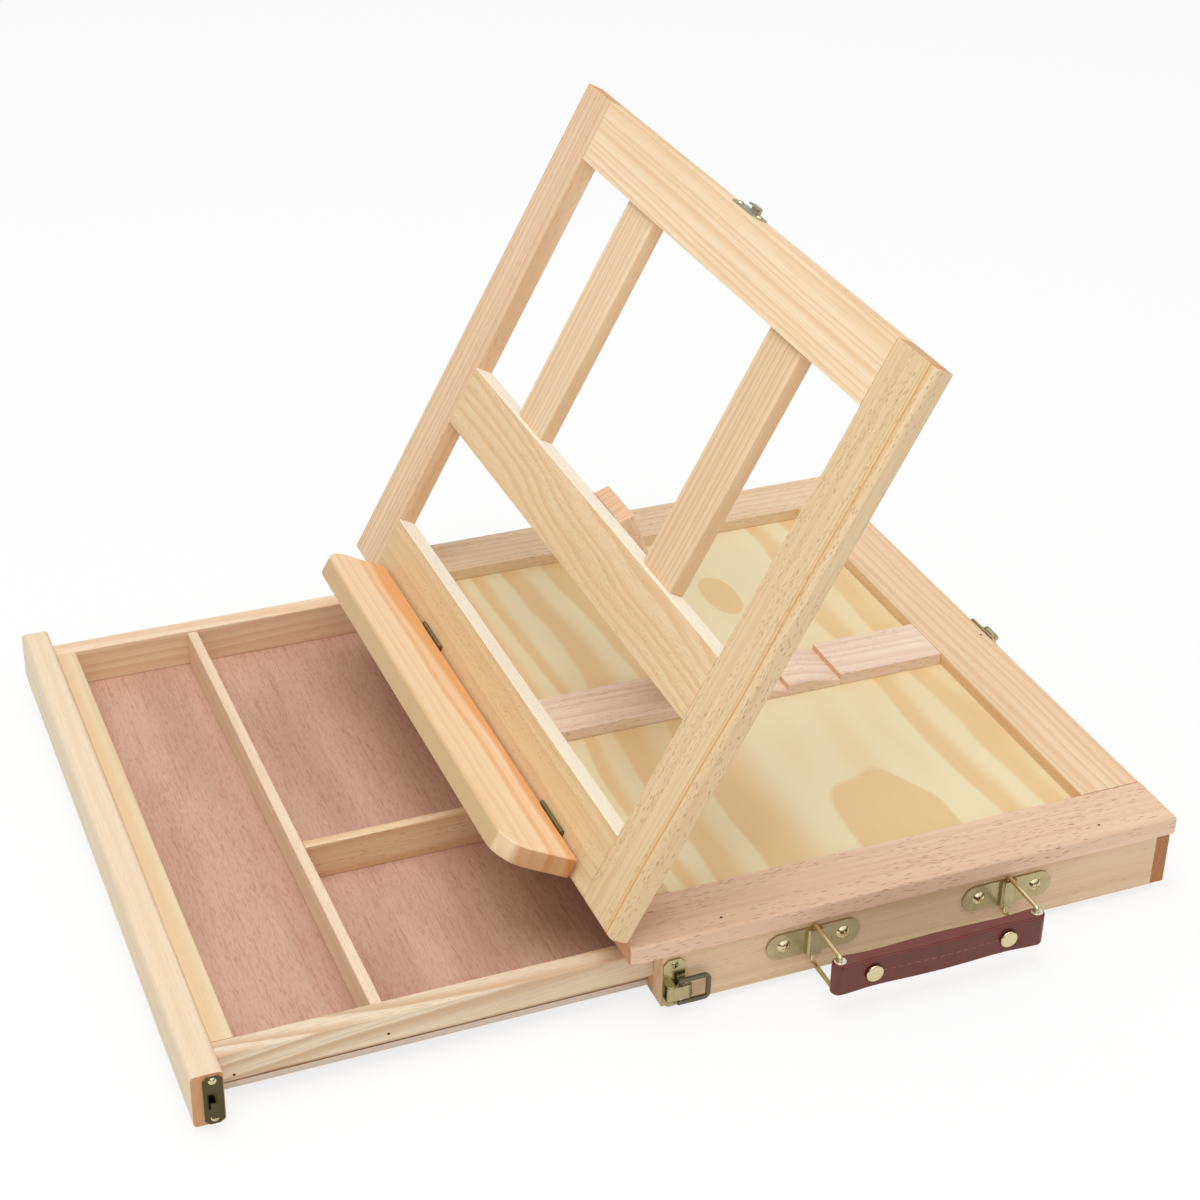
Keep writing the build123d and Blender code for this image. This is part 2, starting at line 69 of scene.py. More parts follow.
def add(tree, kind, settings=None, inputs=None):
    """Adds a node and gives its first output. Inputs go by identifier: a socket is linked, a value set."""
    node = tree.nodes.new(kind)
    for name, value in (settings or {}).items():
        setattr(node, name, value)
    for name, value in (inputs or {}).items():
        socket = next(s for s in node.inputs if s.identifier == name)
        if isinstance(value, bpy.types.NodeSocket):
            tree.links.new(value, socket)
        else:
            socket.default_value = value
    return next((s for s in node.outputs if s.enabled), None)


def blank_material(name):
    """A new material with an empty tree."""
    material = bpy.data.materials.new(name)
    material.use_nodes = True
    material.node_tree.nodes.clear()
    return material, material.node_tree


def streaks(tree, place, along_mm, across_mm, detail=2.0):
    """A soft random pattern in streaks of about this length, along X, and this width."""
    scaled = add(tree, "ShaderNodeVectorMath", {"operation": "MULTIPLY"}, {
        "Vector": place, "Vector_001": (1000 / along_mm, 1000 / across_mm, 1000 / across_mm),
    })
    return add(tree, "ShaderNodeTexNoise", {}, {"Vector": scaled, "Scale": 1.0, "Detail": detail})


def stain(tree, wood, pattern, start, full, strength, paint, blend="MIX"):
    """Lays paint over the wood, from none where the pattern is at start to its strength at full."""
    amount = add(tree, "ShaderNodeMapRange", {"interpolation_type": "SMOOTHSTEP"}, {
        "Value": pattern, "From Min": start, "From Max": full, "To Max": strength,
    })
    return add(tree, "ShaderNodeMix", {"data_type": "RGBA", "blend_type": blend}, {
        "Factor_Float": amount, "A_Color": wood, "B_Color": paint,
    })


def eased(node):
    """The board in the frame with its sharp edges broken by sandpaper, made from a merged copy."""
    weld = 1e-6
    flat_angle = math.radians(0.5)
    sharp_angle = math.radians(50)
    sanded_edge = 0.0004
    mesh = nodes[node].data.copy()
    board = bpy.data.objects.new(node + "_board", mesh)
    bpy.context.scene.collection.objects.link(board)
    shape = bmesh.new()
    shape.from_mesh(mesh)
    bmesh.ops.remove_doubles(shape, verts=shape.verts, dist=weld)
    bmesh.ops.dissolve_limit(shape, angle_limit=flat_angle, verts=shape.verts, edges=shape.edges)
    shape.to_mesh(mesh)
    shape.free()
    bevel = board.modifiers.new("sanded edges", "BEVEL")
    bevel.width = sanded_edge
    bevel.segments = 2
    bevel.limit_method = "ANGLE"
    bevel.angle_limit = sharp_angle
    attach(board, body_of_node[node])
    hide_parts(node)
    return board


def pine(
    node, grain, heart, lean=(0, 0, 0), ring=0.0045, early="#F3DDBB", late="#E3BE8E", figure=0.6,
    dashes=0.5, dash_colour="#94603F", pores=(8.0, 0.85), end="#F3DCC8", wander=0.004, veins_and_painted_highlights=(),
    board=True,
):
    """Planed pine, sawn from a log whose heart lies at heart from the board's middle. The eye gets
    soft cream growth with tan late wood along the grain, short brown resin pores and warmer ends.
    Pores are the dashes' length and width in mm. A vein is a deeper growth line, a browner edge or a
    pale painted highlight along an edge: its direction and offset from the middle, half width, how far it strays
    and its colour."""
    material, tree = blank_material("planed_pine_" + node)
    low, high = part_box(node)
    middle = (low + high) / 2
    along = Vector(grain).normalized()
    where = add(tree, "ShaderNodeTexCoord").node.outputs
    log = add(tree, "ShaderNodeMapping", {"vector_type": "TEXTURE"}, {
        "Vector": where["Object"], "Location": middle + Vector(heart),
        "Rotation": (along + Vector(lean)).to_track_quat("X", "Z").to_euler(),
    })

    # Growth rings, wider in good years: the radius from the heart, bent a little.
    drift = streaks(tree, log, along_mm=170, across_mm=38).node.outputs["Color"]
    bent = add(tree, "ShaderNodeVectorMath", {"operation": "MULTIPLY_ADD"}, {
        "Vector": drift, "Vector_001": (0, 2 * wander, 2 * wander), "Vector_002": log,
    })
    across = add(tree, "ShaderNodeVectorMath", {"operation": "MULTIPLY"}, {
        "Vector": bent, "Vector_001": (0, 1, 1),
    })
    radius = add(tree, "ShaderNodeVectorMath", {"operation": "LENGTH"}, {"Vector": across})
    radius = radius.node.outputs["Value"]
    changes_per_ring = 0.35
    rings_shifted = 2.2
    good_years = add(tree, "ShaderNodeTexNoise", {"noise_dimensions": "1D"}, {
        "W": radius, "Scale": changes_per_ring / ring, "Detail": 1.0,
    })
    count = add(tree, "ShaderNodeMath", {"operation": "DIVIDE"}, {"Value": radius, "Value_001": ring})
    count = add(tree, "ShaderNodeMath", {"operation": "MULTIPLY_ADD"}, {
        "Value": good_years, "Value_001": rings_shifted, "Value_002": count,
    })
    year = add(tree, "ShaderNodeMath", {"operation": "FRACT"}, {"Value": count})
    wood = stain(tree, colour(early), year, start=0.25, full=0.86, strength=figure, paint=colour(late))
    wood = stain(tree, wood, year, start=0.88, full=1.0, strength=1.0, paint=colour(early))

    # Cloudy patches and fine fibres of the same late wood.
    cloud = streaks(tree, log, along_mm=260, across_mm=30, detail=1.0)
    wood = stain(tree, wood, cloud, start=0.35, full=0.75, strength=0.35, paint=colour(late))
    fibre = streaks(tree, log, along_mm=40, across_mm=0.6, detail=3.0)
    wood = stain(tree, wood, fibre, start=0.42, full=0.75, strength=0.5, paint=colour(late))

    # Deeper growth lines, browner edges and pale painted highlights along edges, at set places, each with a soft
    # rim.
    for direction, offset, half_width, stray, code in veins_and_painted_highlights:
        rim = 1.15 * half_width
        core = 0.55 * half_width
        sway = streaks(tree, log, along_mm=120, across_mm=60, detail=1.0)
        aside = add(tree, "ShaderNodeVectorMath", {"operation": "SUBTRACT"}, {
            "Vector": where["Object"], "Vector_001": middle + (offset + stray) * direction,
        })
        aside = add(tree, "ShaderNodeVectorMath", {"operation": "DOT_PRODUCT"}, {
            "Vector": aside, "Vector_001": direction,
        }).node.outputs["Value"]
        aside = add(tree, "ShaderNodeMath", {"operation": "MULTIPLY_ADD"}, {
            "Value": sway, "Value_001": 2 * stray, "Value_002": aside,
        })
        aside = add(tree, "ShaderNodeMath", {"operation": "ABSOLUTE"}, {"Value": aside})
        wood = stain(tree, wood, aside, start=rim, full=core, strength=0.85, paint=colour(code))

    # Resin pores: the middles of long cells, in patches.
    pore_length, pore_width = pores
    scaled = add(tree, "ShaderNodeVectorMath", {"operation": "MULTIPLY"}, {
        "Vector": log, "Vector_001": (1000 / pore_length, 1000 / pore_width, 1000 / pore_width),
    })
    cells = add(tree, "ShaderNodeTexVoronoi", {}, {"Vector": scaled, "Scale": 1.0})
    pored = stain(
        tree, wood, cells, start=0.27, full=0.13, strength=dashes, paint=colour(dash_colour),
    )
    patches = streaks(tree, log, along_mm=60, across_mm=9, detail=1.0)
    wood = stain(tree, wood, patches, start=0.36, full=0.54, strength=1.0, paint=pored)

    # Thirsty end grain takes on a deeper tone.
    facing = add(tree, "ShaderNodeVectorMath", {"operation": "DOT_PRODUCT"}, {
        "Vector": where["Normal"], "Vector_001": along,
    }).node.outputs["Value"]
    facing = add(tree, "ShaderNodeMath", {"operation": "ABSOLUTE"}, {"Value": facing})
    wood = stain(
        tree, wood, facing, start=0.75, full=0.95, strength=1.0, paint=colour(end), blend="MULTIPLY",
    )
    fibre_height = 0.0002
    relief = add(tree, "ShaderNodeBump", {}, {
        "Strength": 0.25, "Distance": fibre_height, "Height": fibre,
    })
    shader = add(tree, "ShaderNodeBsdfPrincipled", {}, {
        "Base Color": wood, "Roughness": 0.55, "Specular IOR Level": 0.3, "Normal": relief,
    })
    add(tree, "ShaderNodeOutputMaterial", {}, {"Surface": shader})
    piece = eased(node) if board else nodes[node]
    piece.data.materials.clear()
    piece.data.materials.append(material)


pine("case_side_right", backward, heart=(-0.15, 0, 0.06), lean=(0, 0, 0.02), early="#E6CBA7",
     late="#D8B48B", figure=0.5, dashes=0.35, end="#FFFAF5")
pine("case_side_left", backward, heart=(0.15, 0, -0.06), lean=(0, 0, 0.02), early="#EBD2AE",
     late="#DAB78C")
pine("case_back", right, heart=(0, -0.07, 0.01), lean=(0, 0, 0.015), early="#EBD0AA",
     late="#DAB589", end="#C89A7C")
pine("drawer_runners", backward, heart=(0, 0, -0.08), early="#E8D0AC", late="#D8B68D", board=False)

# Feet.
# Four soft pink-tan bumpers of moulded rubber, 10 mm across, pressed into the bottom edges of
# the case.


def plain(name, code, roughness, metallic=0.0, worn=None, depth=0.0):
    """One colour, or two in soft spots, with a fine relief, for rubber and small metal parts."""
    relief_mm = 0.4
    spots_mm = 10 / 3
    material, tree = blank_material(name)
    where = add(tree, "ShaderNodeTexCoord").node.outputs["Object"]
    grain = add(tree, "ShaderNodeTexNoise", {}, {
        "Vector": where, "Scale": 1000 / relief_mm, "Detail": 2.0,
    })
    skin = colour(code)
    if worn:
        spots = add(tree, "ShaderNodeTexNoise", {}, {
            "Vector": where, "Scale": 1000 / spots_mm, "Detail": 3.0,
        })
        skin = add(tree, "ShaderNodeMix", {"data_type": "RGBA"}, {
            "Factor_Float": spots, "A_Color": skin, "B_Color": colour(worn),
        })
    relief = add(tree, "ShaderNodeBump", {}, {"Strength": 0.3, "Distance": depth, "Height": grain})
    shader = add(tree, "ShaderNodeBsdfPrincipled", {}, {
        "Base Color": skin, "Roughness": roughness, "Metallic": metallic, "Normal": relief,
    })
    add(tree, "ShaderNodeOutputMaterial", {}, {"Surface": shader})
    return material


def coat(material, *names):
    """Gives CAD nodes their finish."""
    for name in names:
        nodes[name].data.materials.clear()
        nodes[name].data.materials.append(material)


# Moulded rubber: matt and pinkish, with a soft skin.
coat(plain("soft_rubber_bumper", "#D9A58C", 0.6, depth=0.00005), "feet")

# Cap frame.
# Four pine rails, 30 mm wide, butted at the corners round a plywood panel. The side rails run
# the full depth and the near one is pinker, with many short pores.
pine("cap_rail_right", backward, heart=(-0.22, 0, -0.09), lean=(0.012, 0, 0), ring=0.0055,
     early="#F0D2B4", late="#DFB494", figure=0.4, dashes=0.9, dash_colour="#9A5F45", end="#EBCDB8",
     pores=(8.0, 0.65))
pine("cap_rail_left", backward, heart=(0.22, 0, -0.08), early="#F0D8B6", late="#DFBD95")
pine("cap_rail_back", right, heart=(0, -0.22, -0.08), lean=(0, 0.008, 0), ring=0.0042,
     early="#F1D7B4", late="#E2B88D", dashes=0.2)
pine("cap_rail_front", right, heart=(0, 0.15, -0.08), early="#E9CFA9", late="#D9B483")

# Cap panel.
# Rotary-cut plywood, pale yellow with broad orange-tan bands that run across the box, each
# soft behind and sharp in front. An oval and a tongue show where the knife grazed a layer again.
panel_bands = [
    (0.104, 0.090), (0.084, 0.068), (-0.014, -0.046), (-0.052, -0.070), (-0.078, -0.088),
    (-0.094, -0.104),
]
oval_place = Vector((-0.083, 0.026, 0))
oval_size = Vector((0.020, 0.009, 1))
tongue_place = Vector((0.143, 0.020, 0))
tongue_size = Vector((0.057, 0.027, 1))


def panel_plywood():
    """Sanded softwood plywood. The eye gets soft-edged bands 10 to 30 mm wide on pale wood, with
    fine pale fibres."""
    material, tree = blank_material("rotary_cut_pine_plywood")
    where = add(tree, "ShaderNodeTexCoord").node.outputs["Object"]
    sharp_edge = 0.0012
    wide_sway = 0.034
    small_sway = 0.006
    rim_unevenness = 0.5
    rim_outside = 1.28
    rim_inside = 1.20
    band_strength = 0.85
    fibre_strength = 0.2

    def island(place, size):
        """A smooth hill, 1 in the middle and 0 at the rim of an uneven ellipse."""
        away = add(tree, "ShaderNodeVectorMath", {"operation": "SUBTRACT"}, {
            "Vector": where, "Vector_001": place,
        })
        away = add(tree, "ShaderNodeVectorMath", {"operation": "DIVIDE"}, {
            "Vector": away, "Vector_001": size,
        })
        away = add(tree, "ShaderNodeVectorMath", {"operation": "MULTIPLY"}, {
            "Vector": away, "Vector_001": (1, 1, 0),
        })
        away = add(tree, "ShaderNodeVectorMath", {"operation": "LENGTH"}, {"Vector": away})
        uneven = streaks(tree, where, along_mm=40, across_mm=22, detail=0.0)
        away = add(tree, "ShaderNodeMath", {"operation": "MULTIPLY_ADD"}, {
            "Value": uneven, "Value_001": rim_unevenness, "Value_002": away.node.outputs["Value"],
        })
        return add(tree, "ShaderNodeMapRange", {"interpolation_type": "SMOOTHSTEP"}, {
            "Value": away, "From Min": rim_outside, "From Max": rim_inside,
        })

    spread = add(tree, "ShaderNodeSeparateXYZ", {}, {"Vector": where}).node.outputs["Y"]
    for length, width, sway in ((190, 60, wide_sway), (45, 16, small_sway)):
        spread = add(tree, "ShaderNodeMath", {"operation": "MULTIPLY_ADD"}, {
            "Value": streaks(tree, where, length, width, 1.0), "Value_001": sway,
            "Value_002": spread,
        })
    middle_sway = (wide_sway + small_sway) / 2
    orange = add(tree, "ShaderNodeMath", {"operation": "MAXIMUM"}, {
        "Value": island(oval_place, oval_size), "Value_001": island(tongue_place, tongue_size),
    })
    for soft, sharp in panel_bands:
        deepest = 0.4 * soft + 0.6 * sharp
        front = add(tree, "ShaderNodeMapRange", {"interpolation_type": "SMOOTHSTEP"}, {
            "Value": spread, "From Min": sharp - sharp_edge + middle_sway,
            "From Max": sharp + sharp_edge + middle_sway,
        })
        behind = add(tree, "ShaderNodeMapRange", {"interpolation_type": "SMOOTHSTEP"}, {
            "Value": spread, "From Min": soft + middle_sway, "From Max": deepest + middle_sway,
        })
        band = add(tree, "ShaderNodeMath", {"operation": "MULTIPLY"}, {
            "Value": front, "Value_001": behind,
        })
        orange = add(tree, "ShaderNodeMath", {"operation": "MAXIMUM"}, {
            "Value": orange, "Value_001": band,
        })
    orange = add(tree, "ShaderNodeMath", {"operation": "MULTIPLY"}, {
        "Value": orange, "Value_001": band_strength,
    })
    cloud = streaks(tree, where, along_mm=90, across_mm=22, detail=1.0)
    wood = stain(
        tree, colour("#EFE2B9"), cloud, start=0.3, full=0.8, strength=1.0, paint=colour("#EDD8A9"),
    )
    wood = add(tree, "ShaderNodeMix", {"data_type": "RGBA"}, {
        "Factor_Float": orange, "A_Color": wood, "B_Color": colour("#E7C288"),
    })
    fibres = streaks(tree, where, along_mm=30, across_mm=0.8, detail=3.0)
    fibres = add(tree, "ShaderNodeMath", {"operation": "MULTIPLY"}, {
        "Value": fibres, "Value_001": fibre_strength,
    })
    wood = add(tree, "ShaderNodeMix", {"data_type": "RGBA"}, {
        "Factor_Float": fibres, "A_Color": wood, "B_Color": colour("#F6E9CC"),
    })
    shader = add(tree, "ShaderNodeBsdfPrincipled", {}, {
        "Base Color": wood, "Roughness": 0.5, "Specular IOR Level": 0.3,
    })
    add(tree, "ShaderNodeOutputMaterial", {}, {"Surface": shader})
    return material


coat(panel_plywood(), "cap_panel")

# Ratchet bar.
# A pale pine batten, glued to the panel from front to back and sawn with saw-tooth notches. The
# foot of the prop drops into one of them.
pine("ratchet_bar", backward, heart=(-0.16, 0, -0.05), lean=(0.03, 0, 0), ring=0.006,
     early="#F8E4CE", late="#E2C0A7", figure=0.5, dashes=0.6, pores=(7.0, 0.6))

# Drawer.
# Pine sides, front board and dividers over a floor of reddish plywood, with a thicker false
# front. The near side is fastened with brads whose dark heads show.
pine("drawer_false_front", right, heart=(0, 0.14, -0.09), lean=(0, 0, 0.004), ring=0.007,
     early="#EFDCBF", late="#E3C79F", figure=0.35, dashes=0.1, end="#DDBA9C")
pine("drawer_side_right", backward, heart=(-0.02, 0, -0.004), lean=(0, 0, 0.09), early="#EAD8BD",
     late="#C8A57C", figure=0.75, dashes=0.1)
pine("drawer_side_left", backward, heart=(-0.05, 0, -0.06), lean=(0, 0, 0.03), early="#F2DABA",
     late="#E2BD95", dashes=0.2)
pine("drawer_inner_front", right, heart=(0, 0.12, -0.05), ring=0.006, early="#E9D4B0",
     late="#E1C193", dashes=0.1)
pine("drawer_back", right, heart=(0, 0.12, -0.06), early="#EDD3B0", late="#DDB68C")
pine("drawer_divider_long", right, heart=(0, 0.12, -0.12), ring=0.006, early="#F0DABD",
     late="#E0BE97", figure=0.4, dashes=0.35, pores=(5.0, 0.5))
pine("drawer_divider_short", backward, heart=(0.11, 0, -0.08), ring=0.006, early="#F0D6B2",
     late="#D9AC78")


def drawer_plywood():
    """Red hardwood plywood: pinkish brown, matt, with fine short vessel lines along the grain."""
    material, tree = blank_material("red_hardwood_plywood")
    where = add(tree, "ShaderNodeTexCoord").node.outputs
    cloud = streaks(tree, where["Object"], along_mm=160, across_mm=30)
    wood = stain(
        tree, colour("#D5B09A"), cloud, start=0.3, full=0.7, strength=1.0, paint=colour("#C39B86"),
    )
    for length, width, full in ((3.5, 0.4, 0.825), (22.0, 1.3, 1.05)):
        vessels = streaks(tree, where["Object"], along_mm=length, across_mm=width)
        wood = stain(
            tree, wood, vessels, start=0.45, full=full, strength=1.0, paint=colour("#E4CABD"),
            blend="MULTIPLY",
        )
    face = add(tree, "ShaderNodeSeparateXYZ", {}, {"Vector": where["Normal"]}).node.outputs["Z"]
    face = add(tree, "ShaderNodeMath", {"operation": "ABSOLUTE"}, {"Value": face})
    wood = add(tree, "ShaderNodeMix", {"data_type": "RGBA"}, {
        "Factor_Float": face, "A_Color": colour("#E2D2C0"), "B_Color": wood,
    })
    shader = add(tree, "ShaderNodeBsdfPrincipled", {}, {
        "Base Color": wood, "Roughness": 0.6, "Specular IOR Level": 0.25,
    })
    add(tree, "ShaderNodeOutputMaterial", {}, {"Surface": shader})
    return material


coat(drawer_plywood(), "drawer_bottom")


def geometry_tree(name, sockets):
    """A geometry tree with named inputs, and the outputs of its group input node."""
    tree = bpy.data.node_groups.new(name, "GeometryNodeTree")
    tree.interface.new_socket("Places", in_out="INPUT", socket_type="NodeSocketGeometry")
    for label, kind in sockets.items():
        tree.interface.new_socket(label, in_out="INPUT", socket_type="NodeSocket" + kind)
    tree.interface.new_socket("Pieces", in_out="OUTPUT", socket_type="NodeSocketGeometry")
    return tree, tree.nodes.new("NodeGroupInput").outputs


def dropped(tree, points, target, towards):
    """Points moved along a direction until they land on an object."""
    reach = 0.1
    shape = add(tree, "GeometryNodeObjectInfo", {"transform_space": "RELATIVE"}, {
        "Object": target,
    }).node.outputs["Geometry"]
    landed = add(tree, "GeometryNodeRaycast", {}, {
        "Target Geometry": shape, "Ray Direction": towards, "Ray Length": reach,
    }).node.outputs
    return add(tree, "GeometryNodeSetPosition", {}, {
        "Geometry": points, "Position": landed["Hit Position"],
    })


def finished(tree, instances, material):
    """Ends a tree: real geometry with its material."""
    real = add(tree, "GeometryNodeRealizeInstances", {}, {"Geometry": instances})
    dressed = add(tree, "GeometryNodeSetMaterial", {}, {"Geometry": real, "Material": material})
    result = tree.nodes.new("NodeGroupOutput")
    tree.links.new(dressed, result.inputs["Pieces"])


def made(name, tree, places, lines, values, body):
    """Runs a tree on points or lines. The result is a plain mesh that moves with a body."""
    start = bpy.data.meshes.new(name + "_places")
    start.from_pydata(places, lines, [])
    maker = bpy.data.objects.new(name + "_maker", start)
    bpy.context.scene.collection.objects.link(maker)
    modifier = maker.modifiers.new(name, "NODES")
    modifier.node_group = tree
    for item in tree.interface.items_tree:
        if item.name in values:
            modifier[item.identifier] = values[item.name]
    ready = maker.evaluated_get(bpy.context.evaluated_depsgraph_get())
    piece = bpy.data.objects.new(name, bpy.data.meshes.new_from_object(ready))
    bpy.data.objects.remove(maker)
    bpy.context.scene.collection.objects.link(piece)
    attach(piece, body)


def brad_tree():
    """Round brad heads, dropped along a direction onto a board and turned to face out of it."""
    tree, given = geometry_tree("brad_heads", {
        "Board": "Object", "Towards": "Vector", "Radius": "Float", "Height": "Float",
        "Finish": "Material",
    })
    spots = dropped(tree, given["Places"], given["Board"], given["Towards"])
    head = add(tree, "GeometryNodeMeshCylinder", {}, {
        "Vertices": 12, "Radius": given["Radius"], "Depth": given["Height"],
    })
    turn = add(tree, "FunctionNodeAlignEulerToVector", {"axis": "Z"}, {"Vector": given["Towards"]})
    heads = add(tree, "GeometryNodeInstanceOnPoints", {}, {
        "Points": spots, "Instance": head, "Rotation": turn,
    })
    finished(tree, heads, given["Finish"])
    return tree


# Rusty iron: small dark brown dots with hardly any shine.
brads = brad_tree()
brad_look = {
    "Radius": 0.0006, "Height": 0.0002,
    "Finish": plain("rusty_iron", "#4A3226", 0.6, metallic=0.3),
}
beside_box = 0.19
above_cap = 0.05
drawer_brad_places = [(beside_box, -0.2922, 0.0153), (beside_box, -0.2293, 0.0168)]
made("drawer_brads", brads, drawer_brad_places, [], {
    "Board": nodes["drawer_side_right"], "Towards": -right, **brad_look,
}, "drawer")
cap_brad_places = {
    "right": (0.1664, -0.0871, above_cap), "right_far": (0.1655, 0.0945, above_cap),
    "back": (0.0070, 0.1267, above_cap),
}
for spot, place in cap_brad_places.items():
    rail = "cap_rail_" + spot.split("_")[0]
    made("cap_brad_" + spot, brads, [place], [], {
        "Board": nodes[rail], "Towards": -upward, **brad_look,
    }, "case")

# Easel frame.
# Two stiles and three rails of 9 mm pine, glued edge to edge, with two thinner slats let in
# above the middle rail. The near stile is a darker board with two thin orange lines near its
# edge, and the upper edges of the two lower rails carry a pale painted highlight.
fold = next(j for j in frame["joints"] if j["name"] == "easel_fold")
easel_angle = -math.radians(fold["range_deg"][0])
up_frame = Vector((0, math.cos(easel_angle), math.sin(easel_angle)))
out_front = Vector((0, -math.sin(easel_angle), math.cos(easel_angle)))


def half_across(node, direction):
    """Half of a board's width along a direction."""
    places = [vertex.co.dot(direction) for vertex in nodes[node].data.vertices]
    return (max(places) - min(places)) / 2


def painted_highlight_edge(node):
    """A pale band of painted highlight that covers a rail's upper edge."""
    return [(up_frame, half_across(node, up_frame), 0.0006, 0.0, "#FFF4E0")]


pine("easel_stile_right", up_frame, heart=-0.25 * right - 0.05 * out_front, lean=0.01 * right,
     ring=0.005, early="#E9CFA6", late="#D9B483", figure=0.4, dashes=0.9, dash_colour="#8F5C38",
     pores=(5.0, 0.55),
     veins_and_painted_highlights=[(right, 0.0105, 0.0007, 0.0026, "#DCA35C"), (right, 0.0085, 0.0004, 0.0023, "#DFB06E")])
pine("easel_stile_left", up_frame, heart=0.25 * right - 0.07 * out_front, ring=0.004,
     early="#F0D4B2", late="#DDAF82", figure=0.55, dashes=0.4)
pine("easel_rail_top", right, heart=-0.25 * up_frame - 0.05 * out_front, lean=-0.01 * up_frame,
     ring=0.0036, early="#F8E2BF", late="#EBC290", figure=0.65, dashes=0.06, wander=0.002)
pine("easel_rail_middle", right, heart=0.05 * up_frame - 0.03 * out_front, lean=0.06 * out_front,
     early="#EDD1A8", late="#DDB27E", figure=0.55, dashes=0.35, dash_colour="#8F5C38",
     pores=(6.0, 0.5), wander=0.008, veins_and_painted_highlights=painted_highlight_edge("easel_rail_middle"))
pine("easel_rail_bottom", right, heart=-0.2 * up_frame - 0.06 * out_front, ring=0.007,
     early="#E9CFA4", late="#D6AE7E", figure=0.4, pores=(5.0, 0.5),
     veins_and_painted_highlights=painted_highlight_edge("easel_rail_bottom"))
pine("easel_slat_right", up_frame, heart=0.2 * right - 0.04 * out_front, ring=0.0035,
     early="#EED2AC", late="#D9AF80", dashes=0.15)
pine("easel_slat_left", up_frame, heart=0.2 * right - 0.04 * out_front, ring=0.0035,
     early="#F2D9B5", late="#DFB78A", dashes=0.15)

# Butt hinges.
# Small rolled hinges of brass-plated steel: two under the easel frame, two on the ledge and one
# on the prop. Dull from tumbling, with darker soft spots.
dull_brass = plain("tumbled_brass_plate", "#9C8862", 0.42, metallic=1.0, worn="#6F5E40", depth=0.00006)
coat(dull_brass, "easel_hinge_leaves_case", "easel_hinge_leaves_frame", "easel_hinge_pins",
     "ledge_hinge_leaves_frame", "ledge_hinge_leaves_ledge", "prop_hinge_leaf_leg",
     "prop_hinge_leaf_rail", "small_hinge_pins")

# Prop leg.
# A thin planed pine batten that holds the frame up. It hangs from a hinge behind the middle rail
# and is cut to a chisel at its foot.
prop_low, prop_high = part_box("prop_leg")
prop_run = Vector((0, prop_high.y - prop_low.y, prop_low.z - prop_high.z)).normalized()
pine("prop_leg", prop_run, heart=0.2 * right + 0.02 * backward, ring=0.004, early="#F2D4B4",
     late="#E0B48B", dashes=0.4, end="#FAF1EC")

# Ledge.
# The strip that carries the canvas, a warm board with deep orange growth lines along its hinged
# edge, a browner front edge and rounded outer corners.
pine("canvas_ledge", right, heart=0.05 * up_frame - 0.16 * out_front, ring=0.007,
     early="#F7DCB9", late="#EBBD8B", figure=0.4, dashes=0.05, end="#DCC6B2",
     veins_and_painted_highlights=[(out_front, -0.0160, 0.0080, 0.0120, "#E8A563"),
            (out_front, -0.0030, 0.0020, 0.0060, "#EDBC86"),
            (out_front, half_across("canvas_ledge", out_front), 0.0008, 0.0, "#D3B284")])

# Draw latches and their catches.
# Stamped and folded sheet: plated base, rolled lever and a flat grey loop that hooks over the
# catch on the drawer front, and the same again between the easel's top and the cap's back edge.


def dark_brass_painted_edge_highlight():
    """Dark sheet on its flat faces, with a pale painted highlight on its cut edges and hook."""
    material, tree = blank_material("dark_brass_plate_painted_edge_highlight")
    outward = add(tree, "ShaderNodeSeparateXYZ", {}, {
        "Vector": add(tree, "ShaderNodeTexCoord").node.outputs["Normal"],
    })
    outward = add(tree, "ShaderNodeMath", {"operation": "ABSOLUTE"}, {"Value": outward})
    # Faces turned along X stay dark; all other faces, the cut edges and hook, get a pale painted highlight.
    flat = add(tree, "ShaderNodeMapRange", {}, {"Value": outward, "From Min": 0.9, "From Max": 0.99})
    skin = add(tree, "ShaderNodeMix", {"data_type": "RGBA"}, {
        "Factor_Float": flat, "A_Color": colour("#D9C892"), "B_Color": colour("#57503B"),
    })
    shader = add(tree, "ShaderNodeBsdfPrincipled", {}, {
        "Base Color": skin, "Roughness": 0.22, "Metallic": 1.0,
    })
    add(tree, "ShaderNodeOutputMaterial", {}, {"Surface": shader})
    return material


# Plated steel: pale champagne with a soft shine. Bright brass: polished screw heads. Grey steel
# and zinc: bare and dull.
plated_steel = plain("brass_plated_steel", "#C6BA92", 0.24, metallic=1.0, worn="#A4976D", depth=0.00004)
bright_brass = plain("bright_brass", "#DDD0A6", 0.18, metallic=1.0, depth=0.00003)
grey_steel = plain("grey_stamped_steel", "#6F695C", 0.38, metallic=1.0, depth=0.00005)
zinc = plain("zinc_plate", "#CFCBB0", 0.4, metallic=0.5, worn="#A39F84")
for side in ("left", "right", "top"):
    coat(plated_steel, f"latch_{side}_plate", f"latch_{side}_lever")
    coat(grey_steel, f"latch_{side}_loop")
coat(plated_steel, "latch_side_pins", "latch_top_pin")
coat(bright_brass, "latch_screws_case", "catch_screws_easel", "catch_screws_drawer")
coat(dark_brass_painted_edge_highlight(), "catch_plates_drawer")
coat(zinc, "catch_plate_easel")

# Handle.
# Two plated straps hold bent wire rings that turn in steel tubes at the ends of a leather grip,
# which is folded round them, stitched along its middle, riveted and piped along its top edge.
coat(plated_steel, "handle_plates")
coat(bright_brass, "handle_ring_front", "handle_ring_back", "handle_screws", "handle_grip_rivets")

# Bright steel: cold and white beside the brass.
coat(plain("bright_steel_tube", "#D5D2CC", 0.25, metallic=1.0, depth=0.00003), "handle_grip_tubes")


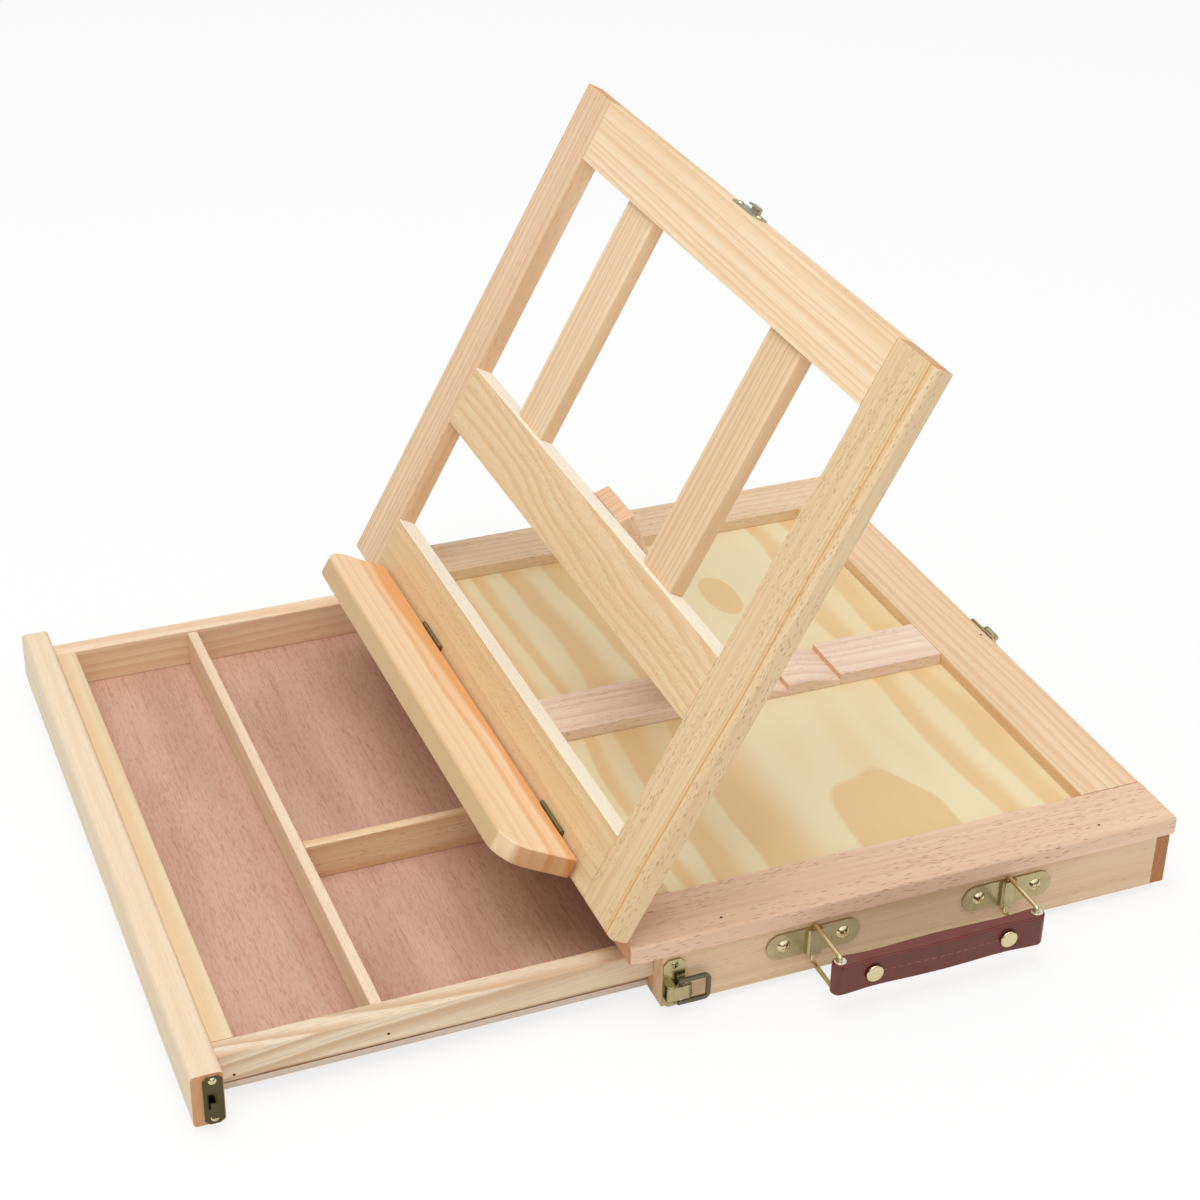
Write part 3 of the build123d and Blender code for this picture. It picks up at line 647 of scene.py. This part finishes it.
def grip_leather():
    """Finished leather, burgundy, smooth with a faint crease grain and a soft sheen."""
    crease_mm = 0.9
    crease_depth = 0.0001
    cloud_mm = 25 / 3
    material, tree = blank_material("burgundy_leather")
    where = add(tree, "ShaderNodeTexCoord").node.outputs["Object"]
    cells = add(tree, "ShaderNodeTexVoronoi", {"feature": "SMOOTH_F1"}, {
        "Vector": where, "Scale": 1000 / crease_mm,
    })
    cloud = add(tree, "ShaderNodeTexNoise", {}, {
        "Vector": where, "Scale": 1000 / cloud_mm, "Detail": 2.0,
    })
    skin = add(tree, "ShaderNodeMix", {"data_type": "RGBA"}, {
        "Factor_Float": cloud, "A_Color": colour("#602419"), "B_Color": colour("#743528"),
    })
    relief = add(tree, "ShaderNodeBump", {}, {
        "Strength": 0.25, "Distance": crease_depth, "Height": cells,
    })
    shader = add(tree, "ShaderNodeBsdfPrincipled", {}, {
        "Base Color": skin, "Roughness": 0.42, "Normal": relief,
    })
    add(tree, "ShaderNodeOutputMaterial", {}, {"Surface": shader})
    return material


leather = grip_leather()
coat(leather, "handle_grip")


def line_on_grip(tree, given):
    """The given line in even steps, dropped onto the grip's outer face."""
    line = add(tree, "GeometryNodeMeshToCurve", {}, {"Mesh": given["Places"]})
    line = add(tree, "GeometryNodeResampleCurve", {"mode": "LENGTH"}, {
        "Curve": line, "Length": given["Step"],
    })
    return dropped(tree, line, given["Grip"], -right)


def stitch_tree():
    """Straight stitches in a row along a line on the grip."""
    tree, given = geometry_tree("stitches", {
        "Grip": "Object", "Step": "Float", "Length": "Float", "Thickness": "Float",
        "Finish": "Material",
    })
    line = line_on_grip(tree, given)
    along = add(tree, "FunctionNodeAlignEulerToVector", {"axis": "X"}, {
        "Vector": add(tree, "GeometryNodeInputTangent"),
    })
    size = add(tree, "ShaderNodeCombineXYZ", {}, {
        "X": given["Length"], "Y": given["Thickness"], "Z": given["Thickness"],
    })
    thread = add(tree, "GeometryNodeMeshUVSphere", {}, {"Segments": 8, "Rings": 6, "Radius": 0.5})
    threads = add(tree, "GeometryNodeInstanceOnPoints", {}, {
        "Points": line, "Instance": thread, "Rotation": along, "Scale": size,
    })
    finished(tree, threads, given["Finish"])
    return tree


def piping_tree():
    """A thin round cord along a line on the grip."""
    tree, given = geometry_tree("piping", {
        "Grip": "Object", "Step": "Float", "Radius": "Float", "Finish": "Material",
    })
    round_cord = add(tree, "GeometryNodeCurvePrimitiveCircle", {}, {
        "Resolution": 12, "Radius": given["Radius"],
    })
    cord = add(tree, "GeometryNodeCurveToMesh", {}, {
        "Curve": line_on_grip(tree, given), "Profile Curve": round_cord, "Fill Caps": True,
    })
    finished(tree, cord, given["Finish"])
    return tree


# Waxed thread: matt, a little lighter than the leather.
beside_grip = 0.22
stitch_half = 0.0265
stitch_height = 0.0190
stitch_line = [(beside_grip, y, stitch_height) for y in (-stitch_half, stitch_half)]
made("grip_stitches", stitch_tree(), stitch_line, [(0, 1)], {
    "Grip": nodes["handle_grip"], "Step": 0.0036, "Length": 0.0027, "Thickness": 0.0005,
    "Finish": plain("waxed_red_brown_thread", "#A0604B", 0.6),
}, "grip")
piping_half = 0.0470
piping_below_top = 0.0014
piping_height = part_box("handle_grip")[1].z - piping_below_top
piping_line = [(beside_grip, y, piping_height) for y in (-piping_half, piping_half)]
made("grip_piping", piping_tree(), piping_line, [(0, 1)], {
    "Grip": nodes["handle_grip"], "Step": 0.002, "Radius": 0.0008, "Finish": leather,
}, "grip")

# Floor, light and camera.
# A plain white paper floor under one large soft lamp, and the photograph's view from high on the
# right. The paper is nearly white to the camera, and keeps the box's soft shadow.
floor_half = 4.0
floor_glow = 0.8
floor_mesh = bpy.data.meshes.new("floor")
floor_mesh.from_pydata(
    [(-floor_half, -floor_half, 0), (floor_half, -floor_half, 0),
     (floor_half, floor_half, 0), (-floor_half, floor_half, 0)],
    [], [(0, 1, 2, 3)],
)
floor = bpy.data.objects.new("floor", floor_mesh)
bpy.context.scene.collection.objects.link(floor)
paper, paper_tree = blank_material("white_paper")
seen = add(paper_tree, "ShaderNodeLightPath").node.outputs["Is Camera Ray"]
matt = add(paper_tree, "ShaderNodeBsdfDiffuse", {}, {"Color": colour("#FAFAFA")})
glow = add(paper_tree, "ShaderNodeEmission", {}, {"Strength": 1.0})
share = add(paper_tree, "ShaderNodeMath", {"operation": "MULTIPLY"}, {
    "Value": seen, "Value_001": floor_glow,
})
both = add(paper_tree, "ShaderNodeMixShader", {}, {
    "Fac": share, "Shader": matt, "Shader_001": glow,
})
add(paper_tree, "ShaderNodeOutputMaterial", {}, {"Surface": both})
floor_mesh.materials.append(paper)

# The world lights the box softly, is white to the camera, and shows metal a room that is dark
# near the floor and bright above.
ambient = 0.57
dark_below = 0.25
bright_above = 0.6
darkest = 0.1
brightest = 1.1
world = bpy.data.worlds.new("studio")
bpy.context.scene.world = world
world.use_nodes = True
sky = world.node_tree
sky.nodes.clear()
rays = add(sky, "ShaderNodeLightPath").node.outputs
background_rays = add(sky, "ShaderNodeMath", {"operation": "MAXIMUM"}, {
    "Value": rays["Is Camera Ray"],
    "Value_001": add(sky, "ShaderNodeMath", {"operation": "MAXIMUM"}, {
        "Value": rays["Is Glossy Ray"], "Value_001": rays["Is Transmission Ray"],
    }),
})
height = add(sky, "ShaderNodeSeparateXYZ", {}, {
    "Vector": add(sky, "ShaderNodeTexCoord").node.outputs["Generated"],
}).node.outputs["Z"]
mirrored_room = add(sky, "ShaderNodeMapRange", {"interpolation_type": "SMOOTHSTEP"}, {
    "Value": height, "From Min": dark_below, "From Max": bright_above,
    "To Min": darkest, "To Max": brightest,
})
level = add(sky, "ShaderNodeMix", {}, {
    "Factor_Float": rays["Is Glossy Ray"], "A_Float": 1.0, "B_Float": mirrored_room,
})
level = add(sky, "ShaderNodeMix", {}, {
    "Factor_Float": background_rays, "A_Float": ambient, "B_Float": level,
})
air = add(sky, "ShaderNodeBackground", {}, {"Color": colour("#FFFFFF"), "Strength": level})
add(sky, "ShaderNodeOutputWorld", {}, {"Surface": air})


def lamp(name, place, size, power):
    """A soft square lamp that looks at the middle of the box."""
    light = bpy.data.lights.new(name, "AREA")
    light.size = size
    light.energy = power
    holder = bpy.data.objects.new(name, light)
    bpy.context.scene.collection.objects.link(holder)
    holder.location = place
    holder.rotation_euler = (-Vector(place)).to_track_quat("-Z", "Y").to_euler()


lamp("overhead_lamp", place=(0.3, -0.4, 2.2), size=1.6, power=27)
lamp("side_lamp", place=(2.0, -0.8, 1.2), size=1.2, power=3)

camera_place = Vector((0.8722, -0.4399, 0.6516))
camera_azimuth = math.radians(67.27)
camera_elevation = math.radians(30.44)
camera_roll = math.radians(1.28)
camera_data = bpy.data.cameras.new("camera")
camera_data.sensor_width = 36.0
camera_data.lens = 72.2
camera = bpy.data.objects.new("camera", camera_data)
bpy.context.scene.collection.objects.link(camera)
bpy.context.scene.camera = camera
look = Vector((
    -math.sin(camera_azimuth) * math.cos(camera_elevation),
    math.cos(camera_azimuth) * math.cos(camera_elevation),
    -math.sin(camera_elevation),
))
camera.location = camera_place
camera.rotation_mode = "QUATERNION"
camera.rotation_quaternion = (
    look.to_track_quat("-Z", "Y") @ Quaternion((0, 0, 1), camera_roll)
)
bpy.context.scene.view_settings.view_transform = "Standard"
